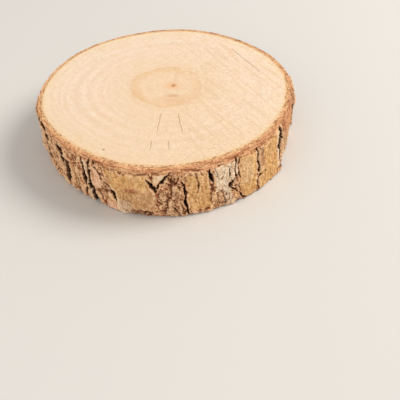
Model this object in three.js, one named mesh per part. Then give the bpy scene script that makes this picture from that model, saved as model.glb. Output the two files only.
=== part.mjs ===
// A flat slice of a small log with its bark left on, lying on its lower sawn face.
// Millimetres, +Z up. The origin is the middle of the slice's outline, on the lower face.
// Angles go round the stem in degrees, anticlockwise from +X as seen from above.
// A depth is measured down from the upper sawn face.

import * as THREE from 'three';

// Driving dimensions.
const THICKNESS = 21; // from one sawn face to the other
const WOOD_RADIUS = 47.9; // mean radius of the pale wood inside the bark
const BARK_THICKNESS = 3; // mean, out to the face of the plates
const LEAN = 2; // how far the stem moves towards +X from the upper face to the lower one

// The sawn edges: the outer bark has crumbled away for a short way beside each cut, more in some places
// than in others. The crumbled places are this long round the stem.
const TOP_EDGE = { loss: 0.9, reach: 1.3, round: 4, along: THICKNESS, seed: 37 };
const BOTTOM_EDGE = { loss: 0.7, reach: 1.1, round: 4, along: THICKNESS, seed: 41 };
const EDGE_VARIATION = 0.3; // share of the loss that comes and goes

// Relief of the plates between the fissures: size of the lumps round and along the stem, and height.
const PLATES = { round: 7, along: 11, height: 0.4, seed: 11 };
const SCALES = { round: 3, along: 4.5, height: 0.22, seed: 23 };

// Slow swellings: how many there are round the stem, their height, and the angle where one is highest.
// The first list shapes the outline of the wood, the second the thickness of the bark on it.
const WOOD_SWELLINGS = [
  { count: 2, height: 0.85, at: 46 },
  { count: 3, height: 0.3, at: 44 },
  { count: 4, height: 0.25, at: 5 },
  { count: 6, height: 0.27, at: 19 },
];
const BARK_SWELLINGS = [
  { count: 1, height: 0.66, at: 300 },
  { count: 2, height: 0.22, at: 85 },
];

// Fissures of the front, from left to right: the angle at the upper and at the lower end, the depths
// where the fissure starts and stops, its width across the mouth and how deep it cuts.
const FRONT_FISSURES = [
  { from: 209, to: 203, start: 2, stop: 20, width: 2.2, cut: 1.8 },
  { from: 214, to: 213, start: 9, stop: 21, width: 2, cut: 1.1 },
  { from: 223, to: 224, start: 3, stop: 17, width: 2.6, cut: 2.2 },
  { from: 231, to: 230, start: 8, stop: 21, width: 2, cut: 1 },
  { from: 236.5, to: 236.5, start: 2, stop: 12, width: 2, cut: 1.6 },
  { from: 240.5, to: 239.5, start: 4, stop: 21, width: 3.2, cut: 2.8 },
  { from: 246, to: 246.5, start: 1.5, stop: 8, width: 2, cut: 1.1 },
  { from: 247, to: 250.5, start: 10, stop: 17, width: 2.2, cut: 1.8 },
  { from: 250.5, to: 258, start: 17.5, stop: 20, width: 2.4, cut: 0.9 },
  { from: 266, to: 267.5, start: 2.5, stop: 14, width: 3, cut: 2.3 },
  { from: 277, to: 278, start: 6, stop: 21, width: 2.4, cut: 1.6 },
  { from: 289, to: 288.5, start: 1.2, stop: 13, width: 2.6, cut: 2.5 },
  { from: 299, to: 299, start: 1.2, stop: 9, width: 2, cut: 1.4 },
  { from: 299, to: 295.8, start: 9.5, stop: 12, width: 2.2, cut: 1.8 },
  { from: 295.8, to: 302.5, start: 12, stop: 20, width: 2.4, cut: 1.7 },
  { from: 310, to: 310.7, start: 1, stop: 21, width: 2.2, cut: 2 },
  { from: 325.5, to: 324, start: 1.2, stop: 15, width: 2.6, cut: 2.7 },
  { from: 329, to: 328, start: 4, stop: 18, width: 2, cut: 1.5 },
  { from: 337, to: 336, start: 2, stop: 16, width: 2.2, cut: 1.4 },
  { from: 343, to: 345, start: 1.5, stop: 21, width: 2.4, cut: 1.9 },
];

// The rest of the bark has fissures of the same kind at seeded random places.
const BACK_FISSURES = {
  first: 353,
  last: 561,
  spacing: [7, 13],
  drift: [-2.5, 2.5],
  start: [1, 6],
  stop: [13, THICKNESS],
  width: [2, 3.2],
  cut: [1.2, 2.6],
  seed: 4711,
};
const FISSURE_END = 1.8; // length over which a fissure fades out at each end
const FISSURE_MEANDER = { swing: 0.5, length: 8.5 }; // how far it wanders, and over what length
const SHOULDER = { width: 2.4, share: 0.16 }; // the plate's edge slopes off beside a fissure

// Plates that stand proud: angle and depth of the middle, length round and down the stem, and height.
const PROUD_PLATES = [
  { at: 206, middle: 12, round: 30, along: 26, height: 0.95 },
  { at: 257, middle: 11, round: 16, along: 24, height: 0.4 },
  { at: 305, middle: 10, round: 9, along: 24, height: 0.4 },
  { at: 317, middle: 11, round: 12, along: 26, height: 0.35 },
];

// Chips broken out of the bark's edge at the lower face: angle, length round the stem, height and depth.
const CHIPS = [
  { at: 26, length: 5, height: 1.8, cut: 1 },
  { at: 84, length: 7, height: 1.5, cut: 1.2 },
  { at: 139, length: 5, height: 2, cut: 1 },
  { at: 187, length: 6, height: 1.4, cut: 0.9 },
  { at: 229, length: 4, height: 1.3, cut: 0.8 },
  { at: 260, length: 8, height: 1.7, cut: 1.3 },
  { at: 301, length: 4, height: 1.4, cut: 0.9 },
];

// Facets.
const COLUMNS = 312;
const ROW_DEPTHS = [0, 0.5, 1.3, 3, 5, 7.2, 9.6, 12, 14.4, 16.6, 18.6, 20, THICKNESS];

const FULL_TURN = 360;
const radians = THREE.MathUtils.degToRad;

// Repeatable random numbers from 0 to 1.
function seededRandom(seed) {
  const modulus = 2147483647;
  let state = seed;
  return () => {
    state = (state * 16807) % modulus;
    return state / modulus;
  };
}

// Repeatable random number from -1 to 1 for one point of a lattice.
function latticeValue(column, row, seed) {
  const random = seededRandom((column * 7919 + row * 104729 + seed * 1299709) % 2147483646 + 1);
  random();
  random();
  return 2 * random() - 1;
}

// Smooth lumps over the bark, which close up after a full turn. The result is from -1 to 1.
function lumps(angle, depth, { round, along, seed }) {
  const columns = Math.round((2 * Math.PI * WOOD_RADIUS) / round);
  const u = (THREE.MathUtils.euclideanModulo(angle, FULL_TURN) / FULL_TURN) * columns;
  const v = depth / along;
  const column = Math.floor(u);
  const row = Math.floor(v);
  const across = THREE.MathUtils.smoothstep(u - column, 0, 1);
  const down = THREE.MathUtils.smoothstep(v - row, 0, 1);
  const next = (column + 1) % columns;
  const upper = THREE.MathUtils.lerp(
    latticeValue(column, row, seed), latticeValue(next, row, seed), across);
  const lower = THREE.MathUtils.lerp(
    latticeValue(column, row + 1, seed), latticeValue(next, row + 1, seed), across);
  return THREE.MathUtils.lerp(upper, lower, down);
}

// A mean value with its swellings round the stem.
function swollen(mean, swellings, angle) {
  return swellings.reduce(
    (sum, { count, height, at }) => sum + height * Math.cos(radians(count * (angle - at))),
    mean,
  );
}

function scatterFissures({ first, last, spacing, drift, start, stop, width, cut, seed }) {
  const random = seededRandom(seed);
  const between = ([low, high]) => low + (high - low) * random();
  const fissures = [];
  for (let angle = first; angle < last; angle += between(spacing)) {
    fissures.push({
      from: angle,
      to: angle + between(drift),
      start: between(start),
      stop: between(stop),
      width: between(width),
      cut: between(cut),
    });
  }
  return fissures;
}

// Distance round the bark from one angle to another.
function arc(angle, other) {
  const turn = THREE.MathUtils.euclideanModulo(angle - other + FULL_TURN / 2, FULL_TURN) - FULL_TURN / 2;
  return radians(turn) * (WOOD_RADIUS + BARK_THICKNESS);
}

// Falls smoothly from 1 to 0 as the distance grows to the reach.
const fade = (distance, reach) => 1 - THREE.MathUtils.smoothstep(Math.abs(distance), 0, reach);

// How much one fissure takes off the bark at a point.
function fissureCut(angle, depth, { from, to, start, stop, width, cut }) {
  const along = THREE.MathUtils.clamp((depth - start) / (stop - start), 0, 1);
  const wander = FISSURE_MEANDER.swing * Math.sin((2 * Math.PI * depth) / FISSURE_MEANDER.length + from);
  const away = arc(angle, THREE.MathUtils.lerp(from, to, along)) - wander;
  const past = Math.max(start - depth, depth - stop, 0);
  const crack = fade(away, width / 2) + SHOULDER.share * fade(away, (SHOULDER.width * width) / 2);
  return cut * crack * fade(past, FISSURE_END);
}

// How far a proud plate stands out at a point.
function plateRise(angle, depth, { at, middle, round, along, height }) {
  return height * fade(arc(angle, at), round / 2) * fade(depth - middle, along / 2);
}

// How much one chip takes off the bark at a point.
function chipCut(angle, depth, { at, length, height, cut }) {
  return cut * fade(arc(angle, at), length / 2) * fade(THICKNESS - depth, height);
}

// How much of the outer bark has crumbled away beside a sawn face at this distance from it.
function edgeLoss(angle, distance, edge) {
  const share = 1 + EDGE_VARIATION * (lumps(angle, distance, edge) - 1);
  return edge.loss * share * Math.max(0, 1 - distance / edge.reach) ** 2;
}

const fissures = [...FRONT_FISSURES, ...scatterFissures(BACK_FISSURES)];

// Radius of the bark's outside at a point.
function barkRadius(angle, depth) {
  const wood = swollen(WOOD_RADIUS, WOOD_SWELLINGS, angle);
  const bark = swollen(BARK_THICKNESS, BARK_SWELLINGS, angle);
  const proud = Math.max(...PROUD_PLATES.map((plate) => plateRise(angle, depth, plate)));
  const relief = PLATES.height * lumps(angle, depth, PLATES) + SCALES.height * lumps(angle, depth, SCALES);
  const cracked = Math.max(...fissures.map((fissure) => fissureCut(angle, depth, fissure)));
  const chipped = Math.max(...CHIPS.map((chip) => chipCut(angle, depth, chip)));
  const crumbled = edgeLoss(angle, depth, TOP_EDGE) + edgeLoss(angle, THICKNESS - depth, BOTTOM_EDGE);
  return wood + bark + proud + relief - Math.max(cracked, chipped) - crumbled;
}

// The closed skin of the slice: rings of points down the bark, and a fan on each sawn face.
function sliceGeometry() {
  const points = [];
  const triangles = [];
  const rows = ROW_DEPTHS.length;
  const index = (row, column) => row * COLUMNS + (column % COLUMNS);

  for (const depth of ROW_DEPTHS) {
    const shift = LEAN * (depth / THICKNESS - 0.5);
    for (let column = 0; column < COLUMNS; column += 1) {
      const angle = (column / COLUMNS) * FULL_TURN;
      const radius = barkRadius(angle, depth);
      const x = shift + radius * Math.cos(radians(angle));
      const y = radius * Math.sin(radians(angle));
      points.push(x, y, THICKNESS - depth);
    }
  }
  const topCentre = rows * COLUMNS;
  const bottomCentre = topCentre + 1;
  points.push(-LEAN / 2, 0, THICKNESS);
  points.push(LEAN / 2, 0, 0);

  for (let column = 0; column < COLUMNS; column += 1) {
    triangles.push(topCentre, index(0, column), index(0, column + 1));
    triangles.push(bottomCentre, index(rows - 1, column + 1), index(rows - 1, column));
    for (let row = 0; row < rows - 1; row += 1) {
      const upperLeft = index(row, column);
      const upperRight = index(row, column + 1);
      const lowerLeft = index(row + 1, column);
      const lowerRight = index(row + 1, column + 1);
      triangles.push(upperLeft, lowerLeft, lowerRight, upperLeft, lowerRight, upperRight);
    }
  }

  const geometry = new THREE.BufferGeometry();
  geometry.setAttribute('position', new THREE.Float32BufferAttribute(points, 3));
  geometry.setIndex(triangles);
  geometry.computeVertexNormals();
  return geometry;
}

// Moves the outline's middle onto the Z axis.
function centred(geometry) {
  geometry.computeBoundingBox();
  const middle = geometry.boundingBox.getCenter(new THREE.Vector3());
  return geometry.translate(-middle.x, -middle.y, 0);
}

const paleWood = new THREE.MeshStandardMaterial({ color: 0xebd3ae, roughness: 0.8, metalness: 0 });

const slice = new THREE.Mesh(centred(sliceGeometry()), paleWood);
slice.name = 'wood_slice';

const part = new THREE.Group();
part.add(slice);

export default part;
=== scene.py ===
import math

import bpy
import numpy as np
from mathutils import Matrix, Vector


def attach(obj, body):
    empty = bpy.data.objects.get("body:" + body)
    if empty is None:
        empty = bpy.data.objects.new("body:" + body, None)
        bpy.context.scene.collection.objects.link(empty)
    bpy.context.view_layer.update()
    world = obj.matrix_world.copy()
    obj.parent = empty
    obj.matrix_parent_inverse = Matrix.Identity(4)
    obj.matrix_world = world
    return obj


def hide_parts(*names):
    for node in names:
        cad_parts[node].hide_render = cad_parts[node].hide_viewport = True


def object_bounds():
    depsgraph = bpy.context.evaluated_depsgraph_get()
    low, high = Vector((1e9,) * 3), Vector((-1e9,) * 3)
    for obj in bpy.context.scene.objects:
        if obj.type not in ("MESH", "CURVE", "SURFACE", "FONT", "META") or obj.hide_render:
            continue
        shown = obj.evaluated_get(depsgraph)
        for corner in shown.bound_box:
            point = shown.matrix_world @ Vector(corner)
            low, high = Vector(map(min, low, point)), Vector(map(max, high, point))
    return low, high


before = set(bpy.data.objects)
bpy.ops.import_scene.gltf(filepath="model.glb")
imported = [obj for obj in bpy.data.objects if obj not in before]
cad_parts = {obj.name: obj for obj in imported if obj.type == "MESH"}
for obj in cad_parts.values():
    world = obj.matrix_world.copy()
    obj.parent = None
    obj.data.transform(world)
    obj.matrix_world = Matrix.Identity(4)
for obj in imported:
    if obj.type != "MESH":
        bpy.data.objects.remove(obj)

# The box of the construction model, which the finished slice has to fill and stay inside.
cad_low, cad_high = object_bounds()

# Lengths are in millimetres until a mesh is made, and MM turns them into Blender's metres.
# Angles go round the stem in degrees, anticlockwise from +X as seen from above.
# A depth is measured down from the upper sawn face.
MM = 0.001
FULL_TURN = 360.0

# Driving dimensions, as in the construction model.
THICKNESS = 21.0
WOOD_RADIUS = 47.9
BARK_THICKNESS = 3.0
LEAN = 2.0
INNER_BARK = 0.4
WOOD_SWELLINGS = [(2, 0.85, 46), (3, 0.3, 44), (4, 0.25, 5), (6, 0.27, 19)]
BARK_SWELLINGS = [(1, 0.66, 300), (2, 0.22, 85)]
LOWER_EDGE = dict(loss=0.7, reach=1.1)

# The inner bark laid bare under the upper edge: mean height, how far it varies, how far it steps back
# at the sawn face and where the outer bark begins.
RIM_HEIGHT = 1.45
RIM_VARIATION = 0.9
RIM_STEP_TOP = 0.95
RIM_STEP_FOOT = 0.4

# Here and below, a noise is given by its sizes round and down the stem, its seed, and where it has them,
# its number of layers and their gain. These two are the waves and the teeth of the rim's lower edge.
RIM_WAVES = (6, 6, 71, 4)
RIM_TEETH = (1.6, 1.3, 73, 3)
RIM_TEETH_HEIGHT = 0.7
RIM_SOFTNESS = 0.25

# Fissures of the front. Each has its cut, then its path: angle, depth and width at each point.
FRONT_FISSURES = [
    (2.6, [(201.5, 0.8, 0.9), (203.6, 2, 2), (204.4, 4.5, 2.6), (204.6, 8, 2.8), (204.6, 12, 2.6),
           (205, 18, 1)]),
    (1.1, [(214, 8.5, 0.5), (213, 14, 1.1), (213.5, 20, 0.7)]),
    (0.9, [(222, 2, 1.5), (223, 5, 4), (223.6, 10, 4.4), (223.8, 15, 3.4), (223.6, 20, 1.5)]),
    (2.6, [(220.8, 1.6, 1.4), (221.6, 4, 3.4), (222, 7, 2.8), (221.8, 11, 1)]),
    (2.6, [(224.2, 4.5, 0.8), (225, 7.5, 2.4), (224.8, 11, 2.6), (224.6, 15, 2.6), (224, 19, 1)]),
    (1.1, [(230.5, 7, 0.4), (231, 12, 0.9), (230, 18, 0.5)]),
    (1.9, [(236.4, 1, 0.6), (236.9, 5, 1.3), (236.2, 9.5, 1.8), (235.4, 15.5, 0.9), (233.8, 20.6, 0.5)]),
    (2.8, [(240.8, 0.6, 0.6), (240, 4, 0.9), (238.9, 8.3, 1.4), (238.9, 12, 2.5), (239.3, 21, 3)]),
    (1.3, [(243, 0.8, 0.9), (244.2, 2.4, 1), (245, 6, 0.8), (244.9, 8, 0.4)]),
    (2.3, [(246.2, 8.4, 0.6), (248, 10.2, 1.4), (249.3, 13, 1.8), (250.2, 16.3, 0.6)]),
    (1.4, [(244.4, 11, 0.6), (246, 13, 1), (247.3, 16, 0.4)]),
    (0.6, [(251.5, 13, 0.3), (254.5, 14.5, 0.7), (255.8, 16.5, 0.8), (257, 18, 0.6)]),
    (0.9, [(256, 18.9, 0.3), (258.5, 18.4, 0.6), (261.5, 18.3, 0.6), (264, 18.7, 0.3)]),
    (2.4, [(264.5, 3.5, 0.5), (265.8, 6, 1.2), (266.9, 6.9, 1.7), (267.1, 9, 0.6)]),
    (1.6, [(274, 0.8, 0.5), (271.6, 2.6, 1), (268.5, 6, 0.9), (267.1, 8, 0.5)]),
    (1.4, [(277.5, 5, 0.4), (278.4, 10, 1.1), (277.6, 15, 0.9), (278.6, 21, 0.6)]),
    (1.0, [(283, 1.2, 0.5), (283.8, 6, 0.7), (283, 11, 0.4)]),
    (2.3, [(288.9, 1.8, 0.5), (288.8, 3.9, 1.2), (289.3, 6.2, 1.4), (290, 8, 0.4)]),
    (0.8, [(291.3, 3, 0.3), (292, 5.2, 0.5), (292.6, 7.6, 0.3)]),
    (1.0, [(295.1, 0.9, 0.6), (294.6, 3.2, 0.4)]),
    (0.9, [(297.3, 4.8, 0.4), (297, 7.8, 0.6)]),
    (1.5, [(300.5, 0.5, 0.7), (300.3, 2.7, 0.8), (299.6, 5, 0.7), (299.6, 8, 0.6)]),
    (1.2, [(302.4, 0.6, 0.5), (301.8, 2.5, 0.7), (301.2, 5, 0.5), (301.6, 11, 0.35), (300.9, 13, 0.35),
           (301.7, 15, 0.4), (301, 16.8, 0.7), (302, 18.8, 0.8), (303.8, 20.3, 0.7), (305.8, 20.8, 0.5)]),
    (2.0, [(300.4, 8.1, 0.5), (298.4, 9.4, 1.4), (297.2, 11, 1.3), (296.5, 12.4, 0.7)]),
    (1.0, [(296.7, 12, 0.6), (297.9, 13.2, 0.8), (299.5, 14.8, 0.6), (301, 16.6, 0.5)]),
    (2.2, [(311.4, 1, 0.4), (311.3, 3.8, 0.8), (311.8, 7, 1.5), (312.2, 10.8, 1.5), (312, 12.4, 0.5)]),
    (1.5, [(316.2, 13.2, 0.3), (313.8, 13.8, 0.5), (311.6, 14.6, 0.7), (311, 16, 0.9), (311.8, 20.6, 0.5)]),
    (2.8, [(328.8, 1.4, 2.2), (329.1, 3.4, 4.8), (328.9, 7, 5), (328.4, 10, 3.4), (327.8, 15, 0.8)]),
    (0.5, [(306, 8, 0.3), (307.8, 11, 0.5), (309.6, 13, 0.3)]),
    (0.5, [(306.6, 11.5, 0.3), (308.2, 13.8, 0.5), (310.2, 15.5, 0.3)]),
    (0.6, [(312.5, 5.5, 0.4), (315, 4, 0.7), (318, 3.4, 0.4)]),
    (0.6, [(313, 8.5, 0.4), (316, 7, 0.7), (319.5, 6, 0.4)]),
    (2.2, [(333.2, 2.5, 0.8), (333.4, 6, 1.8), (333, 11, 2), (331.8, 15, 1.2), (330, 18.5, 0.5)]),
    (0.8, [(337, 3, 0.3), (337.4, 8, 0.5), (336.8, 14, 0.3)]),
    (1.2, [(343.6, 4, 0.4), (343, 9, 0.8), (343.4, 15, 0.9), (342.8, 19, 0.4)]),
    (2.6, [(358, 0.4, 1.4), (356, 2, 2.8), (355, 4, 3), (354.2, 6.5, 2.6), (353.8, 9, 1)]),
]

# Seeded fissures on the rest of the bark: where they begin and end round the stem, then the ranges of the
# angle between two of them and of drift, start, stop, width and cut. The draws are those of the
# construction model, and the widths are narrowed.
BACK_FIRST, BACK_LAST, BACK_SEED = 353.0, 561.0, 4711
BACK_SPACING = (7, 13)
BACK_RANGES = [(-2.5, 2.5), (1, 6), (13, THICKNESS), (2, 3.2), (1.2, 2.6)]
BACK_NARROWING = 0.62

# The path of such a fissure: its points and how far they stray in degrees, then the mean and the swing of
# its widest place and the reach of the bulge there, as shares of its length, and its width at the ends.
BACK_BENDS = 5
BACK_BEND_ANGLE = 1.3
BACK_WIDEST_MEAN, BACK_WIDEST_SWING = 0.5, 0.35
BACK_BULGE = 0.35
BACK_TAPER = 0.3
BACK_WIDEST_SEED, BACK_BEND_SEED = 301, 307

# Small cracks all round: how many, then the ranges of angle, middle depth, length, lean, width and cut.
SMALL_CRACKS, SMALL_CRACK_SEED = 80, 905
SMALL_CRACK_RANGES = [(0, FULL_TURN), (2, THICKNESS), (2, 7), (-2, 2), (0.3, 0.75), (0.5, 1.2)]

# A fissure widens and narrows along its way, by this noise, mean, swing and limits.
PINCH = (1.9, 2.6, 67, 3)
PINCH_MEAN, PINCH_SWING = 0.85, 0.9
PINCH_LIMITS = (0.35, 1.3)

# A fissure's section: the half width that gives it its full depth, the least share of the depth for
# narrower ones, the share of its half width that is floor, and the least width of a wall.
FULL_DEPTH_HALF = 0.6
LEAST_DEPTH = 0.3
FLOOR_SHARE = 0.5
LEAST_WALL = 0.15

# Painted shade in the fissures, on top of their own dark colour: how deep inside a fissure its walls
# start to darken and over what depth they turn black, then how dark a fissure may get: a base, and so much
# more for each millimetre of its cut.
DARK_FROM = 0.12
DARK_OVER = 0.5
DARK_BASE = 0.35
DARK_PER_CUT = 0.4

# Plates that stand proud: angle, middle depth, length round and down the stem, height.
PROUD_PLATES = [
    (199, 16, 15, 20, 1.25), (214, 18, 18, 14, 0.5), (257, 11, 16, 24, 0.4),
    (305, 10, 9, 24, 0.4), (317, 11, 12, 26, 0.35),
]

# Hollows where the bark has shed its outer layers: angle, middle depth, half length round and down the
# stem, softness of the edge, cut.
HOLLOWS = [(211.5, 9.5, 6, 9, 1.2, 1.1), (347, 18, 14, 9, 6, 2.2)]

# Chips out of the lower edge: angle, length round the stem, height, cut.
CHIPS = [
    (26, 5, 1.8, 1), (84, 7, 1.5, 1.2), (139, 5, 2, 1), (187, 6, 1.4, 0.9),
    (229, 4, 1.3, 0.8), (260, 8, 2.6, 0.35), (301, 4, 1.4, 0.9),
]

# Softness of a chip's sides and of its upper edge.
CHIP_SIDES = 0.8
CHIP_TOP = 0.5

# Ragged edges: how far they stray, the size of their bends, and the seed.
FISSURE_RAG = (0.6, 1.9, 61)
CHIP_RAG = (0.5, 1.6, 211)
PATCH_RAG = (1.2, 3.5, 151)
SCALE_RAG = (1.0, 2.6, 83)

# A small knot in the bark: angle, depth, half its length round and down the stem, height.
KNOT = dict(angle=257.9, depth=9, half_round=2.8, half_down=1.4, height=0.05)

# Relief of the outer bark: large lumps, scales split by gaps, flakes on them, creases, a fine grain, and
# the thin sheets of the bared inner bark. Each noise is followed by its heights or cuts.
LUMPS = (7, 11, 11)
LUMP_HEIGHT = 0.4
SCALES = (2.5, 6.5, 401)
SCALE_HEIGHT, SCALE_TILT, SCALE_GAP = 0.26, 0.34, 0.4
GAPS_SHOW = (4, 5, 449, 2)
FLAKES = (1.05, 2.6, 431)
FLAKE_HEIGHT, FLAKE_TILT, FLAKE_GAP = 0.2, 0.26, 0.22
CREASES = (1.6, 2.2, 461, 3, 0.6)
CREASE_CUT = 0.22
GRAIN = (0.8, 1.1, 97, 3, 0.65)
GRAIN_HEIGHT = 0.09
SHEETS = (5, 0.6, 103, 3, 0.6)
SHEET_HEIGHT = 0.24

# How much each tone calms the relief, and the most that it is calmed.
CALMING = {"ochre": 0.6, "pink": 0.9, "pale": 0.3}
MOST_CALM = 0.85

# Ridges and pits, where the material paints highlight and shade: columns and rows looked at to each
# side, height that counts in full, weight.
RIDGE_WINDOWS = [(3, 3, 0.22, 0.6), (9, 8, 0.55, 0.5)]

# Tears of the sawn bark: their noise, their depth, the length of noise used from the wood outwards, and
# how soon they are at full depth.
TEARS = (2.2, 1.3, 131, 4)
TEAR_CUT = 0.24
TEAR_RUN = 9
TEAR_RISE = 3

# Areas of bark with a tone of their own: tone, angles from and to, depths from and to, strength.
TONES = ("ochre", "pale", "pink", "drab", "rust")
FRONT_PATCHES = [
    ("pale", 236.9, 239.3, 0.8, 21, 0.8),
    ("pale", 216, 219, 3, 12, 0.5),
    ("drab", 207, 212, 4, 18, 0.6),
    ("drab", 221, 225, 3, 18, 0.8),
    ("rust", 227, 231, 1, 7, 0.4),
    ("ochre", 226, 232, 9, 18, 0.4),
    ("pink", 241.2, 244.6, 2.6, 12.5, 1),
    ("rust", 241, 246, 12, 16, 0.5),
    ("ochre", 245, 248.6, 13, 17.5, 0.6),
    ("pink", 244.5, 250.3, 17.3, 21, 0.9),
    ("pale", 250.2, 256.8, 15, 21, 1),
    ("pink", 245.8, 248.4, 3, 9, 0.4),
    ("ochre", 248.3, 265.5, 2, 18.8, 0.9),
    ("drab", 252, 266, 9, 19.2, 0.5),
    ("pink", 259, 266, 7, 18, 0.35),
    ("rust", 255.8, 263.8, 19.2, 21, 1),
    ("pale", 266.6, 271.8, 1.4, 5, 0.8),
    ("drab", 268, 277, 8, 21, 0.7),
    ("ochre", 279, 288, 3, 19, 0.8),
    ("pale", 290.5, 300.2, 1.5, 9.5, 1),
    ("pale", 291, 296.6, 8.5, 13, 0.95),
    ("pale", 293.4, 297.8, 12, 21, 0.8),
    ("rust", 297.8, 300.6, 9.5, 12.5, 0.6),
    ("drab", 290, 294, 13, 21, 0.5),
    ("pink", 300.6, 301.4, 0.6, 8, 0.9),
    ("ochre", 301.8, 310.4, 1.8, 20.5, 1),
    ("pale", 302.5, 308.5, 3, 13, 0.35),
    ("ochre", 311.8, 325, 1.8, 20.5, 0.95),
    ("drab", 311.5, 315.5, 1.5, 10, 0.8),
    ("rust", 312.5, 316, 6, 10.5, 0.4),
    ("drab", 318, 321, 3, 8, 0.4),
    ("pale", 325.2, 327, 1, 17, 1),
    ("pink", 331, 332.2, 2, 20, 0.7),
    ("rust", 332.2, 337, 1, 18, 0.85),
    ("ochre", 336.5, 352, 6, 21, 0.7),
    ("rust", 339, 356, 1, 12, 0.35),
]

# Where the outer bark has come away further down: angle, half its length round the stem, added height.
PEELED = [(335, 5, 6), (347, 10, 9), (219, 4, 1.6), (262, 5, 0.8), (78, 6, 5), (160, 8, 3)]

# Seeded areas of tone on the rest of the bark: how many, then the ranges of angle, middle depth, half
# length round and down the stem, and strength.
BACK_PATCHES, BACK_PATCH_SEED = 46, 77
BACK_PATCH_RANGES = [(338, 562), (0, THICKNESS), (1.5, 5), (3, 10), (0.3, 1)]

# Softness of the edges of those areas, at the front and at the back.
FRONT_PATCH_SOFTNESS = 0.7
BACK_PATCH_SOFTNESS = 2.5

# The pith, from the middle of the wood's outline on the upper face.
PITH = (2.8, 1.5)

# Drying cracks of the upper face: direction from the pith, and place as a share of the way to the bark.
FACE_CRACKS = [
    [(257.4, 0.357), (259.8, 0.502), (261.0, 0.657)],
    [(259.6, 0.703), (260.6, 0.853)],
    [(276.9, 0.380), (277.0, 0.514), (278.0, 0.665)],
    [(268.7, 0.701), (270.0, 0.855)],
]
FACE_CRACK_HALF = 0.16
FACE_CRACK_CUT = 0.2

# How such a crack wavers: degrees to each side, waves along it, and how its direction shifts them. Then
# the share of the way over which its ends taper, and the share of its half width that is floor.
FACE_CRACK_WAVES = [(0.12, 55, 1), (0.08, 131, 2)]
FACE_CRACK_TAPER = 0.04
FACE_CRACK_FLOOR = 0.3

# Fineness of the meshes, and how much the rows of the bark crowd towards the sawn edges.
COLUMNS = 1200
BARK_ROWS = 70
ROW_CROWDING = 0.35
RING_BANDS = 5
TOP_RINGS = 58
BOTTOM_RINGS = 20

# Faces that meet at more than this angle, in degrees, keep a crisp edge between them.
SHARP_ANGLE = 60


# Repeatable noise

# The random sequence, and how a lattice point and a seed make a start in it.
RANDOM_FACTOR = 16807
RANDOM_MODULUS = 2147483647
LATTICE_FACTORS = (7919, 104729, 1299709)
LATTICE_STEPS = 3
ROW_KEYS = 512
LAYER_SEED_STEP = 7
WARP_SEED_STEP = 50

# Cells of the scales: a distance beyond any of them, how far their middles stray, and their tilt down.
FAR_AWAY = 9.0
CELL_STRAY = 0.45
CELL_TILT_DOWN = 0.7


def step_random(state):
    return (state * RANDOM_FACTOR) % RANDOM_MODULUS


def draws(seed, ranges):
    """An endless row of seeded draws, with one value from each range."""
    state = seed
    while True:
        values = []
        for low, high in ranges:
            state = step_random(state)
            values.append(low + (high - low) * state / RANDOM_MODULUS)
        yield values


def lattice_value(column, row, seed):
    """Repeatable number from -1 to 1 for each point of a lattice."""
    by_column, by_row, by_seed = LATTICE_FACTORS
    state = (column * by_column + row * by_row + seed * by_seed) % (RANDOM_MODULUS - 1) + 1
    for _ in range(LATTICE_STEPS):
        state = step_random(state)
    return 2.0 * state / RANDOM_MODULUS - 1.0


def smooth(t):
    return t * t * (3 - 2 * t)


def lattice(angle, depth, size_round, size_along):
    """Cell, and place in the cell, on a lattice that closes up after a full turn."""
    columns = round(2 * math.pi * WOOD_RADIUS / size_round)
    u = np.mod(angle, FULL_TURN) / FULL_TURN * columns
    v = depth / size_along
    column = np.floor(u).astype(np.int64)
    row = np.floor(v).astype(np.int64)
    return column, row, u - column, v - row, columns


def keyed(row):
    """Rows above the upper face get keys of their own, so that no key is negative."""
    return row + ROW_KEYS * (row < 0)


def lumps(angle, depth, size_round, size_along, seed):
    """Smooth lumps of that size over the bark, from -1 to 1."""
    column, row, u, v, columns = lattice(angle, depth, size_round, size_along)
    across = smooth(u)
    down = smooth(v)
    here = column % columns
    after = (column + 1) % columns
    above = keyed(row)
    below = keyed(row + 1)
    upper = lattice_value(here, above, seed) * (1 - across) + lattice_value(after, above, seed) * across
    lower = lattice_value(here, below, seed) * (1 - across) + lattice_value(after, below, seed) * across
    return upper * (1 - down) + lower * down


def rough(angle, depth, size_round, size_along, seed, layers, gain=0.5):
    """Lumps of several sizes, each half as large as the one before, from about -1 to 1."""
    total, height, most = 0.0, 1.0, 0.0
    for k in range(layers):
        shrink = 2.0 ** k
        layer = lumps(angle, depth, size_round / shrink, size_along / shrink, seed + LAYER_SEED_STEP * k)
        total = total + height * layer
        most += height
        height *= gain
    return total / most


def scales(angle, depth, size_round, size_along, seed):
    """Scales of about that size: distance to the edge in cells, a value for each scale, and its tilt."""
    column, row, u, v, columns = lattice(angle, depth, size_round, size_along)
    nearest = np.full(angle.shape, FAR_AWAY)
    second = np.full(angle.shape, FAR_AWAY)
    value = np.zeros(angle.shape)
    tilt = np.zeros(angle.shape)
    for right in (-1, 0, 1):
        for below in (-1, 0, 1):
            cell = (column + right) % columns
            line = keyed(row + below)
            aside = right + 0.5 + CELL_STRAY * lattice_value(cell, line, seed) - u
            down = below + 0.5 + CELL_STRAY * lattice_value(cell, line, seed + 1) - v
            away = np.hypot(aside, down)
            closer = away < nearest
            second = np.where(closer, nearest, np.minimum(second, away))
            nearest = np.where(closer, away, nearest)
            value = np.where(closer, lattice_value(cell, line, seed + 2), value)
            leaning = aside * lattice_value(cell, line, seed + 3) + CELL_TILT_DOWN * down
            tilt = np.where(closer, leaning, tilt)
    return second - nearest, value, tilt


# Form of the stem

def swollen(mean, swellings, angle):
    total = mean
    for count, height, at in swellings:
        total = total + height * np.cos(np.radians(count * (angle - at)))
    return total


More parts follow.
